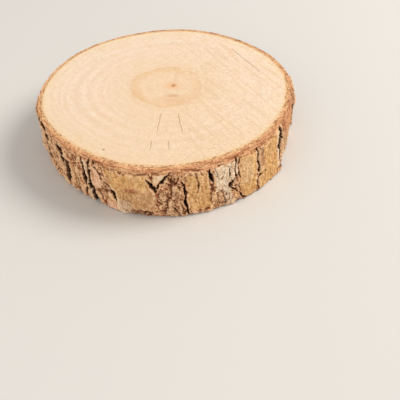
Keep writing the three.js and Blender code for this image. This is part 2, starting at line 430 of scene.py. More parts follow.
def arc(angle, other):
    """Distance round the bark from one angle to another."""
    turn = np.mod(angle - other + FULL_TURN / 2, FULL_TURN) - FULL_TURN / 2
    return np.radians(turn) * (WOOD_RADIUS + BARK_THICKNESS)


def fade(distance, reach):
    """Falls smoothly from 1 to 0 as the distance grows to the reach."""
    return 1 - smooth(np.clip(np.abs(distance) / reach, 0, 1))


def inside_edge(beyond, softness):
    """1 inside an edge and 0 beyond it, over that width."""
    return 1 - smooth(np.clip(beyond / softness + 0.5, 0, 1))


def warped(angle, depth, reach, size, seed):
    """The same places moved about by up to the reach, so that what is drawn there gets ragged edges."""
    aside = reach * rough(angle, depth, size, size, seed, 4, 0.6)
    down = reach * rough(angle, depth, size, size, seed + WARP_SEED_STEP, 4, 0.6)
    return angle + np.degrees(aside / (WOOD_RADIUS + BARK_THICKNESS)), depth + down


def back_fissures():
    """Fissures where the construction model has them, with bends and a widest place of their own."""
    found = []
    angle = BACK_FIRST
    for drift, start, stop, width, cut, spacing in draws(BACK_SEED, BACK_RANGES + [BACK_SPACING]):
        if angle >= BACK_LAST:
            return found
        index = len(found)
        widest = BACK_WIDEST_MEAN + BACK_WIDEST_SWING * lattice_value(index, 0, BACK_WIDEST_SEED)
        path = []
        for k in range(BACK_BENDS):
            along = k / (BACK_BENDS - 1)
            bend = BACK_BEND_ANGLE * lattice_value(index, k, BACK_BEND_SEED)
            swell = BACK_TAPER + (1 - BACK_TAPER) * math.exp(-((along - widest) / BACK_BULGE) ** 2)
            path.append((angle + drift * along + bend, start + (stop - start) * along,
                         BACK_NARROWING * width * swell))
        found.append((cut, path))
        angle += spacing


def small_cracks():
    found = []
    for angle, middle, length, lean, width, cut in draws(SMALL_CRACK_SEED, SMALL_CRACK_RANGES):
        if len(found) == SMALL_CRACKS:
            return found
        half = length / 2
        found.append((cut, [(angle - lean, middle - half, width / 2), (angle, middle, width),
                            (angle + lean, middle + half, width / 3)]))


def fissure_cuts(angle, depth, fissures):
    """Depth cut by the fissures at each point, and how dark they are painted there, 0 to 1: partly their own
    dark colour and partly painted shade that deepens with the cut.
    """
    ragged_angle, ragged_depth = warped(angle, depth, *FISSURE_RAG)
    pinch = np.clip(PINCH_MEAN + PINCH_SWING * rough(angle, depth, *PINCH), *PINCH_LIMITS)
    cut_most = np.zeros(angle.shape)
    dark_most = np.zeros(angle.shape)
    for cut, path in fissures:
        darkness = min(1.0, DARK_BASE + DARK_PER_CUT * cut)
        for (first, start, width_a), (last, stop, width_b) in zip(path, path[1:]):
            run = float(arc(last, first))
            drop = stop - start
            aside = arc(ragged_angle, first)
            down = ragged_depth - start
            along = np.clip((aside * run + down * drop) / (run * run + drop * drop), 0, 1)
            away = np.hypot(aside - along * run, down - along * drop)
            half = 0.5 * pinch * (width_a + (width_b - width_a) * along)
            deep = cut * np.clip(half / FULL_DEPTH_HALF, LEAST_DEPTH, 1)
            wall_width = (1 - FLOOR_SHARE) * half + LEAST_WALL
            wall = 1 - smooth(np.clip((away - FLOOR_SHARE * half) / wall_width, 0, 1))
            dark = smooth(np.clip((deep * wall - DARK_FROM) / DARK_OVER, 0, 1))
            cut_most = np.maximum(cut_most, deep * wall)
            dark_most = np.maximum(dark_most, darkness * dark)
    return cut_most, dark_most


def plate_rise(angle, depth):
    rises = [height * fade(arc(angle, at), size_round / 2) * fade(depth - middle, size_along / 2)
             for at, middle, size_round, size_along, height in PROUD_PLATES]
    return np.maximum.reduce(rises)


def hollow_cuts(angle, depth):
    cuts = [cut * inside_edge(np.abs(arc(angle, at)) - half_round, softness)
            * inside_edge(np.abs(depth - middle) - half_down, softness)
            for at, middle, half_round, half_down, softness, cut in HOLLOWS]
    return np.maximum.reduce(cuts)


def chip_cuts(angle, depth):
    ragged_angle, ragged_depth = warped(angle, depth, *CHIP_RAG)
    cuts = [cut * inside_edge(np.abs(arc(ragged_angle, at)) - length / 2, CHIP_SIDES)
            * inside_edge(THICKNESS - height - ragged_depth, CHIP_TOP)
            for at, length, height, cut in CHIPS]
    return np.maximum.reduce(cuts)


def rim_share(angle, depth):
    """1 on the bared inner bark and 0 below it, and how far down the rim each point is, 0 to 1."""
    level = np.zeros(angle.shape)
    height = RIM_HEIGHT + RIM_VARIATION * rough(angle, level, *RIM_WAVES)
    height = height + RIM_TEETH_HEIGHT * rough(angle, depth, *RIM_TEETH)
    for at, half, added in PEELED:
        height = height + added * fade(arc(angle, at), half)
    return inside_edge(depth - height, RIM_SOFTNESS), np.clip(depth / height, 0, 1)


def patch_shares(angle, depth):
    """How strongly each tone shows at each point, 0 to 1."""
    shares = {tone: np.zeros(angle.shape) for tone in TONES}
    ragged_angle, ragged_depth = warped(angle, depth, *PATCH_RAG)

    def lay(tone, middle_angle, middle_depth, half_round, half_down, strength, softness):
        beyond = np.maximum(np.abs(arc(ragged_angle, middle_angle)) - half_round,
                            np.abs(ragged_depth - middle_depth) - half_down)
        shares[tone] = np.maximum(shares[tone], strength * inside_edge(beyond, softness))

    for tone, first, last, start, stop, strength in FRONT_PATCHES:
        lay(tone, (first + last) / 2, (start + stop) / 2, float(arc(last, first)) / 2, (stop - start) / 2,
            strength, FRONT_PATCH_SOFTNESS)
    patches = draws(BACK_PATCH_SEED, BACK_PATCH_RANGES)
    for k in range(BACK_PATCHES):
        lay(TONES[k % len(TONES)], *next(patches), BACK_PATCH_SOFTNESS)
    return shares


def wood_radius(angle):
    return swollen(WOOD_RADIUS, WOOD_SWELLINGS, angle)


def bark_surface(angle, depth):
    """Radius of the bark's outside, and what its material needs to know at each point."""
    tones = patch_shares(angle, depth)
    calm = np.clip(sum(share * tones[tone] for tone, share in CALMING.items()), 0, MOST_CALM)
    rim, down_rim = rim_share(angle, depth)
    cracked, fissure_dark_and_shade = fissure_cuts(angle, depth, FRONT_FISSURES + back_fissures())
    small_cut, small_dark = fissure_cuts(angle, depth, small_cracks())
    cracked = np.maximum(cracked, (1 - calm) * (1 - rim) * small_cut)
    fissure_dark_and_shade = np.maximum(fissure_dark_and_shade, (1 - calm) * (1 - rim) * (1 - tones["ochre"]) * small_dark)
    chipped = chip_cuts(angle, depth)

    ragged_angle, ragged_depth = warped(angle, depth, *SCALE_RAG)
    gap, value, tilt = scales(ragged_angle, ragged_depth, *SCALES)
    fine_gap, fine_value, fine_tilt = scales(ragged_angle, ragged_depth, *FLAKES)
    clear = smooth(np.clip(0.5 + 1.4 * rough(angle, depth, *GAPS_SHOW), 0, 1))
    plate_gap = clear * (1 - smooth(np.clip(gap / 0.16, 0, 1)))
    flake_gap = 1 - smooth(np.clip(fine_gap / 0.2, 0, 1))
    crease = 1 - smooth(np.clip(np.abs(rough(angle, depth, *CREASES)) / 0.08, 0, 1))
    plates = SCALE_HEIGHT * value + SCALE_TILT * tilt - SCALE_GAP * plate_gap - CREASE_CUT * crease
    flakes = FLAKE_HEIGHT * fine_value + FLAKE_TILT * fine_tilt - FLAKE_GAP * flake_gap
    grain = GRAIN_HEIGHT * rough(angle, depth, *GRAIN)
    sheets = SHEET_HEIGHT * rough(angle, depth, *SHEETS)
    knot = inside_edge(np.hypot(arc(ragged_angle, KNOT["angle"]) / KNOT["half_round"],
                                (ragged_depth - KNOT["depth"]) / KNOT["half_down"]) - 1, 0.5)

    outer = LUMP_HEIGHT * lumps(angle, depth, *LUMPS) + (1 - calm) * plates + (1 - calm) * flakes + grain
    outer = outer + KNOT["height"] * knot
    stepped = RIM_STEP_TOP + (RIM_STEP_FOOT - RIM_STEP_TOP) * down_rim
    lower = LOWER_EDGE["loss"] * np.clip(1 - (THICKNESS - depth) / LOWER_EDGE["reach"], 0, None) ** 2
    wood = wood_radius(angle)
    base = wood + swollen(BARK_THICKNESS, BARK_SWELLINGS, angle)
    base = base + plate_rise(angle, depth) - hollow_cuts(angle, depth)
    relief = (1 - rim) * outer + rim * (sheets - stepped)
    radius = base + relief - np.maximum((1 - 0.6 * rim) * cracked, chipped) - lower * (0.8 + 0.4 * value)
    radius = np.maximum(radius, wood + INNER_BARK + 2 * grain)

    # The dark line under the bared inner bark: partly a crack and partly painted shade at the rim's step.
    beneath = fade(rim - 0.5, 0.45) * (0.35 + 0.35 * fine_value)
    tones["rust"] = np.maximum.reduce([tones["rust"], 0.9 * np.clip(2 * chipped, 0, 1), knot])
    # Painted shade in the gaps between the scales and flakes and in the creases.
    gap_shade = np.maximum.reduce([0.45 * plate_gap, 0.25 * flake_gap, 0.35 * crease])
    gap_shade = gap_shade * (1 - rim) * (1 - calm) * (1 - tones["ochre"])
    # The bark's dark places together, partly their own dark colour and partly painted shade.
    crack_and_shade = np.maximum.reduce([fissure_dark_and_shade * (1 - 0.5 * rim), beneath, gap_shade, 0.32 * np.clip(3 * chipped, 0, 1)])
    facts = dict(tones, crack_and_shade=crack_and_shade, scale=0.7 * value + 0.5 * fine_value, rim=rim, ridge=ridges(radius),
                 depth=depth)
    return radius, facts


def blurred(grid, columns, rows):
    """Mean over a window of that many columns and rows to each side."""
    total = sum(np.roll(grid, shift, axis=1) for shift in range(-columns, columns + 1)) / (2 * columns + 1)
    padded = np.pad(total, ((rows, rows), (0, 0)), mode="edge")
    return sum(padded[k:k + len(grid)] for k in range(2 * rows + 1)) / (2 * rows + 1)


def ridges(radius):
    """From -1 in the pits to 1 on the ridges of the relief, where the material paints shade and highlight."""
    total = sum(weight * ((radius - blurred(radius, columns, rows)) / full)
                for columns, rows, full, weight in RIDGE_WINDOWS)
    return np.clip(total, -1, 1)


# Meshes

def mesh_object(name, points, faces, materials, face_materials, attributes):
    """A mesh in the frame's metres with its materials and its attributes of one number per point."""
    mesh = bpy.data.meshes.new(name)
    mesh.from_pydata([tuple(p) for p in points * MM], [], faces)
    for material in materials:
        mesh.materials.append(material)
    mesh.polygons.foreach_set("material_index", face_materials)
    mesh.polygons.foreach_set("use_smooth", np.ones(len(faces), dtype=bool))
    for key, values in attributes.items():
        layer = mesh.attributes.new(key, "FLOAT", "POINT")
        layer.data.foreach_set("value", np.asarray(values, dtype=np.float32))
    mesh.set_sharp_from_angle(angle=math.radians(SHARP_ANGLE))
    mesh.update()
    piece = bpy.data.objects.new(name, mesh)
    bpy.context.scene.collection.objects.link(piece)
    return piece


def strip(first, second):
    """Quads between two closed rings of the same number of points, seen from outside."""
    a = np.arange(first, first + COLUMNS)
    b = np.arange(second, second + COLUMNS)
    a_next = np.roll(a, -1)
    b_next = np.roll(b, -1)
    return np.stack([a, b, b_next, a_next], axis=1).tolist()


ANGLES = np.arange(COLUMNS) / COLUMNS * FULL_TURN
OUTWARD = np.stack([np.cos(np.radians(ANGLES)), np.sin(np.radians(ANGLES))], axis=1)


def ring_points(radius, depth):
    """Points round the stem at one depth, on its leaning axis."""
    depth = np.broadcast_to(depth, radius.shape)
    x = radius * OUTWARD[:, 0] + LEAN * (depth / THICKNESS - 0.5)
    y = radius * OUTWARD[:, 1]
    return np.stack([x, y, THICKNESS - depth], axis=1)


def row_depths():
    """Depths of the bark's rows, closer together near the two sawn edges."""
    even = np.linspace(-1, 1, BARK_ROWS + 1)
    crowded = np.sin(even * math.pi / 2)
    return THICKNESS / 2 * (1 + crowded * ROW_CROWDING + even * (1 - ROW_CROWDING))


def sawn_ring(share, inner, edge_radius, depth, side):
    """One ring of points on the sawn bark, torn a little below the wood's level, and how far out it is."""
    r = inner + share * (edge_radius - inner)
    level = np.full(COLUMNS, TEAR_RUN * share)
    tears = 0.5 + 0.5 * rough(ANGLES, level, *TEARS)
    torn = TEAR_CUT * smooth(min(1.0, TEAR_RISE * share)) * tears
    return ring_points(r, depth + side * torn), r - inner


def bark_parts():
    """Points, faces and attributes of the closed ring of bark."""
    depths = row_depths()
    grid_angle = np.repeat(ANGLES[None, :], len(depths), axis=0)
    grid_depth = np.repeat(depths[:, None], COLUMNS, axis=1)
    radius, facts = bark_surface(grid_angle, grid_depth)
    inner = wood_radius(ANGLES)
    nothing = {key: np.zeros(COLUMNS) for key in facts}
    rings, across, rows = [], [], []

    def add_sawn(bands, edge_radius, depth, side):
        for k in bands:
            points, out = sawn_ring(k / RING_BANDS, inner, edge_radius, depth, side)
            rings.append(points)
            across.append(out)
            rows.append(nothing)

    add_sawn(range(RING_BANDS), radius[0], 0.0, 1)
    for k in range(len(depths)):
        rings.append(ring_points(radius[k], depths[k]))
        across.append(radius[k] - inner)
        rows.append({key: values[k] for key, values in facts.items()})
    add_sawn(reversed(range(RING_BANDS)), radius[-1], THICKNESS, -1)

    faces, kinds = [], []
    for k in range(len(rings)):
        faces += strip(k * COLUMNS, (k + 1) % len(rings) * COLUMNS)
        sawn = k < RING_BANDS or k >= len(rings) - 1 - RING_BANDS
        kinds += [1 if sawn else 0] * COLUMNS
    attributes = {key: np.concatenate([row[key] for row in rows]) for key in facts}
    attributes["across"] = np.concatenate(across)
    return np.concatenate(rings), faces, kinds, attributes


def face_crack_depth(turn, share):
    """Depth of the drying cracks, 0 to 1, at a direction from the pith and a share of the way out."""
    deepest = np.zeros(turn.shape)
    for path in FACE_CRACKS:
        turns = [at for at, _ in path]
        shares = [place for _, place in path]
        start, stop = shares[0], shares[-1]
        waver = sum(height * math.sin(share * waves + shift * turns[0])
                    for height, waves, shift in FACE_CRACK_WAVES)
        off = turn - np.interp(share, shares, turns) - waver
        off = np.mod(off + FULL_TURN / 2, FULL_TURN) - FULL_TURN / 2
        away = np.abs(np.radians(off)) * share * WOOD_RADIUS
        ends = min(max(min(share - start, stop - share) / FACE_CRACK_TAPER, 0.0), 1.0)
        across = np.clip(1 + FACE_CRACK_FLOOR - away / FACE_CRACK_HALF, 0, 1)
        deepest = np.maximum(deepest, across * ends)
    return deepest


def wood_parts():
    """Points, faces and attributes of the closed disc of pale wood."""
    edge = wood_radius(ANGLES)
    rings, ring_mm, crack_and_shade, faces = [], [], [], []

    def add_face(depth, shares, cracked):
        boundary = ring_points(edge, depth)
        pith = np.array([PITH[0] + LEAN * (depth / THICKNESS - 0.5), PITH[1], THICKNESS - depth])
        arms = boundary - pith
        turn = np.degrees(np.arctan2(arms[:, 1], arms[:, 0])) % FULL_TURN
        for share in shares:
            points = pith + share * arms
            deep = face_crack_depth(turn, share) if cracked else np.zeros(COLUMNS)
            points[:, 2] -= FACE_CRACK_CUT * deep
            rings.append(points)
            ring_mm.append(np.full(COLUMNS, share * WOOD_RADIUS))
            crack_and_shade.append(deep)

    top = np.linspace(0, 1, TOP_RINGS + 1)[1:]
    bottom = np.linspace(0, 1, BOTTOM_RINGS + 1)[1:][::-1]
    add_face(0.0, top, True)
    add_face(THICKNESS, bottom, False)
    for k in range(len(rings) - 1):
        faces += strip(k * COLUMNS, (k + 1) * COLUMNS)
    count = len(rings) * COLUMNS
    last = (len(rings) - 1) * COLUMNS
    faces += [(count, j, (j + 1) % COLUMNS) for j in range(COLUMNS)]
    faces += [(count + 1, last + (j + 1) % COLUMNS, last + j) for j in range(COLUMNS)]
    centres = np.array([
        [PITH[0] - LEAN / 2, PITH[1], THICKNESS],
        [PITH[0] + LEAN / 2, PITH[1], 0],
    ])
    attributes = {
        "ring": np.concatenate(ring_mm + [np.zeros(2)]),
        "crack_and_shade": np.concatenate(crack_and_shade + [np.zeros(2)]),
    }
    return np.concatenate(rings + [centres]), faces, [0] * len(faces), attributes


# Materials

class Nodes:
    """Builds a material's nodes, one call for each."""

    def __init__(self, name, centre=(0.0, 0.0)):
        self.material = bpy.data.materials.new(name)
        self.material.use_nodes = True
        self.tree = self.material.node_tree
        self.tree.nodes.clear()
        self.centre = centre

    def add(self, kind, inputs=(), **settings):
        made = self.tree.nodes.new(kind)
        for key, value in settings.items():
            setattr(made, key, value)
        for key, value in dict(inputs).items():
            if isinstance(value, bpy.types.NodeSocket):
                self.tree.links.new(value, made.inputs[key])
            elif value is not None:
                made.inputs[key].default_value = value
        return made

    def math(self, operation, *values):
        return self.add("ShaderNodeMath", enumerate(values), operation=operation).outputs[0]

    def times(self, first, second):
        return self.math("MULTIPLY", first, second)

    def vector(self, operation, *values):
        made = self.add("ShaderNodeVectorMath", enumerate(values), operation=operation)
        return made.outputs["Value" if operation in ("LENGTH", "DOT_PRODUCT") else "Vector"]

    def attribute(self, name):
        return self.add("ShaderNodeAttribute", attribute_name=name).outputs["Fac"]

    def place(self, scale):
        """The point's place in the frame, in units of the given lengths in millimetres."""
        where = self.add("ShaderNodeTexCoord").outputs["Object"]
        return self.vector("MULTIPLY", where, tuple(1 / (MM * length) for length in scale))

    def from_point(self, x, y):
        """The level vector, in millimetres, from a place that is given from the middle of the wood."""
        where = self.add("ShaderNodeTexCoord").outputs["Object"]
        flat = self.vector("MULTIPLY", where, (1 / MM, 1 / MM, 0))
        return self.vector("SUBTRACT", flat, (self.centre[0] + x, self.centre[1] + y, 0))

    def spot(self, x, y, half_x, half_y):
        """1 in the middle of an oval spot on a sawn face, falling to 0 at its edge."""
        scaled = self.vector("DIVIDE", self.from_point(x, y), (half_x, half_y, 1))
        return self.levels(self.vector("LENGTH", scaled), 0.0, 1.0, 1.0, 0.0)

    def stroke(self, first, last, half_width):
        """1 along a straight stroke on a sawn face, falling to 0 at its sides."""
        run = (last[0] - first[0], last[1] - first[1])
        length = math.hypot(*run)
        way = (run[0] / length, run[1] / length, 0)
        offset = self.from_point(*first)
        along = self.vector("DOT_PRODUCT", offset, way)
        along = self.math("MINIMUM", self.math("MAXIMUM", along, 0.0), length)
        on_line = self.add("ShaderNodeVectorMath", {"Vector": way, "Scale": along}, operation="SCALE")
        away = self.vector("LENGTH", self.vector("SUBTRACT", offset, on_line.outputs["Vector"]))
        return self.levels(away, 0.0, half_width, 1.0, 0.0)

    def round_and_out(self, out, size_round, size_out):
        """Coordinates that run round the stem and out from it, in units of those lengths in millimetres."""
        way = self.vector("NORMALIZE", self.from_point(0, 0))
        circle = self.add("ShaderNodeVectorMath", {"Vector": way, "Scale": WOOD_RADIUS / size_round},
                          operation="SCALE").outputs["Vector"]
        height = self.add("ShaderNodeCombineXYZ", {"Z": self.math("DIVIDE", out, size_out)}).outputs[0]
        return self.vector("ADD", circle, height)

    def noise(self, where, detail, roughness=0.55, scale=1.0):
        inputs = {"Vector": where, "Scale": scale, "Detail": detail, "Roughness": roughness}
        return self.add("ShaderNodeTexNoise", inputs).outputs["Fac"]

    def ramp(self, value, stops):
        """Colours along a value: stops are (place, colour)."""
        made = self.add("ShaderNodeValToRGB", {"Fac": value})
        points = made.color_ramp.elements
        for point, (place, colour) in zip(points, (stops[0], stops[-1])):
            point.position = place
            point.color = colour
        for place, colour in stops[1:-1]:
            points.new(place).color = colour
        return made.outputs["Color"]

    def levels(self, value, low, high, to_low=0.0, to_high=1.0):
        inputs = {"Value": value, "From Min": low, "From Max": high, "To Min": to_low, "To Max": to_high}
        return self.add("ShaderNodeMapRange", inputs, interpolation_type="SMOOTHSTEP").outputs[0]

    def mix(self, factor, first, second):
        # Sockets 6 and 7 and output 2 are the ones for colours.
        inputs = {0: factor, 6: first, 7: second}
        return self.add("ShaderNodeMix", inputs, data_type="RGBA", clamp_factor=True).outputs[2]

    def bump(self, height, distance, strength, normal=None):
        inputs = {"Height": height, "Distance": distance * MM, "Strength": strength, "Normal": normal}
        return self.add("ShaderNodeBump", inputs).outputs[0]

    def finish(self, colour, roughness, specular, normal=None):
        inputs = {"Base Color": colour, "Roughness": roughness, "Specular IOR Level": specular,
                  "Normal": normal}
        shader = self.add("ShaderNodeBsdfPrincipled", inputs)
        self.add("ShaderNodeOutputMaterial", {"Surface": shader.outputs[0]})
        return self.material


def hue(red, green, blue):
    """A colour given as it looks on a screen, from 0 to 255, in Blender's linear values."""
    linear = []
    for value in (red, green, blue):
        share = value / 255
        linear.append(share / 12.92 if share <= 0.04045 else ((share + 0.055) / 1.055) ** 2.4)
    return (*linear, 1.0)


# Colours of the wood, as shares of the way from the pith to the bark.
WOOD_COLOURS = [
    (0.0, hue(234, 205, 173)),
    (0.3, hue(234, 206, 174)),
    (0.42, hue(236, 210, 183)),
    (0.8, hue(238, 215, 193)),
    (0.955, hue(239, 216, 190)),
    (0.985, hue(240, 215, 180)),
    (1.0, hue(228, 192, 146)),
]

# Marks on the sawn faces, in millimetres from the middle of the wood. The scratch has its two ends and
# half its width. A speck has its place and its radius, and an oval its place and half its lengths.
SCRATCH_ENDS = ((27.4, 31.6), (38.2, 12.4))
SCRATCH_HALF = 0.36
SPECKS = [(-20.1, -39.8, 0.75), (-7.8, 40.6, 0.5), (36, -5, 0.3), (-31, 22, 0.3), (14, -24, 0.28)]
SMUDGE = (3.0, -5.9, 4.6, 1.6)
PITH_HALO = (PITH[0] - 0.6, PITH[1], 5, 4)
PITH_SPOT = (*PITH, 1.5, 1.8)
PITH_STREAK_END = (PITH[0] + 1.2, PITH[1] + 10)
PITH_STREAK_HALF = 1.0

# The darker band round the pith: where it begins, is full, has its edge and ends, from its middle, then
# the width of that edge and its darkest place, an oval.
BAND_CENTRE = (0.0, 1.0)
BAND_START, BAND_FULL, BAND_EDGE, BAND_STOP = 8.5, 13.4, 14.0, 14.9
BAND_WOBBLE = 5.0
BAND_EDGE_WIDTH = (0.1, 1.1)
BAND_DARKEST = (3.0, -9.0, 11.0, 5.5)

# Direction of the saw marks, in degrees, and the depth from the lower face up to which marks of the
# upper face are left out.
SAW_ANGLE = 57
MARKS_ABOVE = (10, 11)


def wood_material(centre):
    n = Nodes("pale_sawn_wood", centre)
    ring = n.attribute("ring")
    upper = n.levels(n.add("ShaderNodeSeparateXYZ", {0: n.place((1, 1, 1))}).outputs["Z"], *MARKS_ABOVE)
    drift = n.noise(n.place((14, 14, 14)), 2)
    line = n.math("ADD", ring, n.times(drift, 2.4))

    colour = n.ramp(n.math("DIVIDE", ring, WOOD_RADIUS), WOOD_COLOURS)
    across = n.add("ShaderNodeSeparateXYZ", {0: n.from_point(0, 0)})
    # Painted shade: the wood gets darker and yellower towards the front, where less light falls.
    colour = n.mix(n.levels(across.outputs["Y"], 5, -46, 0.0, 0.38), colour, hue(226, 190, 148))
    # Faint growth rings, clearest on the left, and rays.
    years = n.add("ShaderNodeTexNoise", {"W": line, "Scale": 0.42, "Detail": 3.0}, noise_dimensions="1D")
    clear = n.math("ADD", n.levels(n.noise(n.place((13, 11, 12)), 2), 0.42, 0.65, 0.04, 0.24),
                   n.levels(across.outputs["X"], -6, -26, 0.0, 0.13))
    colour = n.mix(n.times(n.levels(years.outputs["Fac"], 0.48, 0.62), clear), colour,
                   hue(222, 190, 158))
    colour = n.mix(n.times(n.levels(years.outputs["Fac"], 0.48, 0.36), clear), colour,
                   hue(248, 230, 208))
    rays = n.noise(n.round_and_out(ring, 0.8, 14), 3)
    colour = n.mix(n.levels(rays, 0.5, 0.72, 0.0, 0.22), colour, hue(226, 192, 158))
    # The darker band round the pith, with its sharper outer edge.
    wobble = n.times(n.math("SUBTRACT", n.noise(n.place((6, 6, 9)), 3), 0.5), BAND_WOBBLE)
    radius = n.math("ADD", n.vector("LENGTH", n.from_point(*BAND_CENTRE)), wobble)
    band = n.times(n.levels(radius, BAND_START, BAND_FULL),
                  n.levels(radius, BAND_EDGE, BAND_STOP, 1.0, 0.0))
    patchy = n.levels(n.noise(n.place((7, 7, 7)), 2), 0.35, 0.6, 0.5, 0.85)
    colour = n.mix(n.times(band, patchy), colour, hue(229, 190, 146))
    from_edge = n.math("ABSOLUTE", n.math("SUBTRACT", radius, BAND_EDGE))
    edge = n.levels(from_edge, *BAND_EDGE_WIDTH, 0.32, 0.0)
    colour = n.mix(n.times(edge, patchy), colour, hue(210, 170, 124))
    colour = n.mix(n.times(n.spot(*BAND_DARKEST), 0.6), colour, hue(224, 180, 138))
    # Soft clouds, one pinkish and one yellowish, and the fine grain of the sanded wood.
    pinkish = n.noise(n.place((5, 4, 5)), 4, 0.6)
    colour = n.mix(n.levels(pinkish, 0.5, 0.7, 0.0, 0.4), colour, hue(236, 200, 174))
    yellowish = n.noise(n.place((4, 5.5, 5)), 4, 0.6, 1.3)
    colour = n.mix(n.levels(yellowish, 0.48, 0.7, 0.0, 0.45), colour, hue(230, 204, 162))
    grain = n.noise(n.place((0.9, 0.9, 6)), 5, 0.75)
    coarse = n.levels(across.outputs["X"], -15, 20, 0.32, 0.6)
    colour = n.mix(n.times(n.levels(grain, 0.48, 0.66), coarse), colour, hue(210, 176, 140))
    colour = n.mix(n.times(n.levels(grain, 0.48, 0.3), coarse), colour, hue(252, 236, 214))
    # Saw marks run aslant, clearer on the right.
    turned = n.add("ShaderNodeVectorRotate", {"Vector": n.place((1, 1, 1)), "Angle": math.radians(SAW_ANGLE)},
                   rotation_type="Z_AXIS").outputs[0]
    sawn = n.noise(n.vector("MULTIPLY", turned, (0.05, 0.75, 0.1)), 3, 0.6)
    right = n.levels(across.outputs["X"], -5, 18, 0.1, 0.55)
    colour = n.mix(n.times(n.levels(sawn, 0.48, 0.64), right), colour, hue(222, 190, 154))
    # Pith, smudge, specks and scratch.
    colour = n.mix(n.times(n.spot(*PITH_HALO), 0.75), colour, hue(234, 180, 130))
    colour = n.mix(n.times(n.spot(*PITH_SPOT), 0.85), colour, hue(168, 108, 66))
    streak = n.stroke(PITH, PITH_STREAK_END, PITH_STREAK_HALF)
    colour = n.mix(n.times(streak, 0.25), colour, hue(210, 158, 118))
    smudge = n.times(n.spot(*SMUDGE), n.times(upper, 0.5))
    colour = n.mix(smudge, colour, hue(190, 138, 92))
    for x, y, size in SPECKS:
        speck = n.times(n.spot(x, y, size, size), n.times(upper, 0.85))
        colour = n.mix(speck, colour, hue(120, 88, 60))
    scratch = n.stroke(*SCRATCH_ENDS, SCRATCH_HALF)
    colour = n.mix(n.times(scratch, n.times(upper, 0.7)), colour, hue(158, 126, 96))
    # Painted shade in the drying cracks.
    colour = n.mix(n.levels(n.attribute("crack_and_shade"), 0.1, 0.9, 0.0, 0.5), colour, hue(160, 118, 80))

    fuzz = n.noise(n.place((0.35, 0.35, 2)), 3)
    normal = n.bump(fuzz, distance=0.06, strength=0.5)
    normal = n.bump(sawn, distance=0.12, strength=0.35, normal=normal)
    return n.finish(colour, roughness=0.7, specular=0.25, normal=normal)


# Colours of the sawn bark from the wood outwards, as shares of this width in millimetres.
SAWN_BARK_WIDTH = 4.0
SAWN_BARK_COLOURS = [
    (0.0, hue(238, 208, 164)),
    (0.1, hue(228, 188, 138)),
    (0.2, hue(222, 172, 122)),
    (0.34, hue(220, 168, 118)),
    (0.5, hue(216, 154, 110)),
    (0.7, hue(204, 134, 92)),
    (0.88, hue(180, 112, 76)),
    (1.0, hue(150, 94, 64)),
]


def sawn_bark_material(centre):
    n = Nodes("sawn_bark", centre)
    across = n.attribute("across")
    wobble = n.noise(n.place((2.0, 2.0, 2.0)), 4, 0.6)
    line = n.math("ADD", across, n.times(n.math("SUBTRACT", wobble, 0.5), 1.3))
    colour = n.ramp(n.math("DIVIDE", line, SAWN_BARK_WIDTH), SAWN_BARK_COLOURS)
    # Its layers run round the stem, with coarse specks between them.
    layers = n.noise(n.round_and_out(line, 4.0, 0.6), 4, 0.6)
    colour = n.mix(n.levels(layers, 0.5, 0.62, 0.0, 0.8), colour, hue(152, 90, 58))
    colour = n.mix(n.levels(layers, 0.48, 0.36, 0.0, 0.7), colour, hue(242, 192, 148))
    specks = n.noise(n.place((0.8, 0.8, 0.8)), 4, 0.65)
    colour = n.mix(n.levels(specks, 0.51, 0.64, 0.0, 0.75), colour, hue(140, 86, 56))
    colour = n.mix(n.levels(specks, 0.46, 0.34, 0.0, 0.7), colour, hue(246, 206, 164))
    normal = n.bump(specks, distance=0.25, strength=0.7)
    normal = n.bump(layers, distance=0.35, strength=0.7, normal=normal)
    return n.finish(colour, roughness=0.85, specular=0.15, normal=normal)


# Each tone of the outer bark: its two colours, mixed by fine noise.
BASE_TONE = (hue(255, 202, 146), hue(198, 110, 66))
TONE_COLOURS = {
    "ochre": (hue(252, 204, 136), hue(208, 152, 94)),
    "pale": (hue(255, 244, 218), hue(226, 182, 142)),
    "pink": (hue(250, 206, 172), hue(222, 168, 132)),
    "drab": (hue(208, 166, 126), hue(154, 110, 76)),
    "rim": (hue(240, 184, 134), hue(186, 122, 80)),
    "rust": (hue(198, 122, 82), hue(136, 76, 50)),
}

# How closely the lines of the torn layers follow each other.
TORN_LINES = 34.0


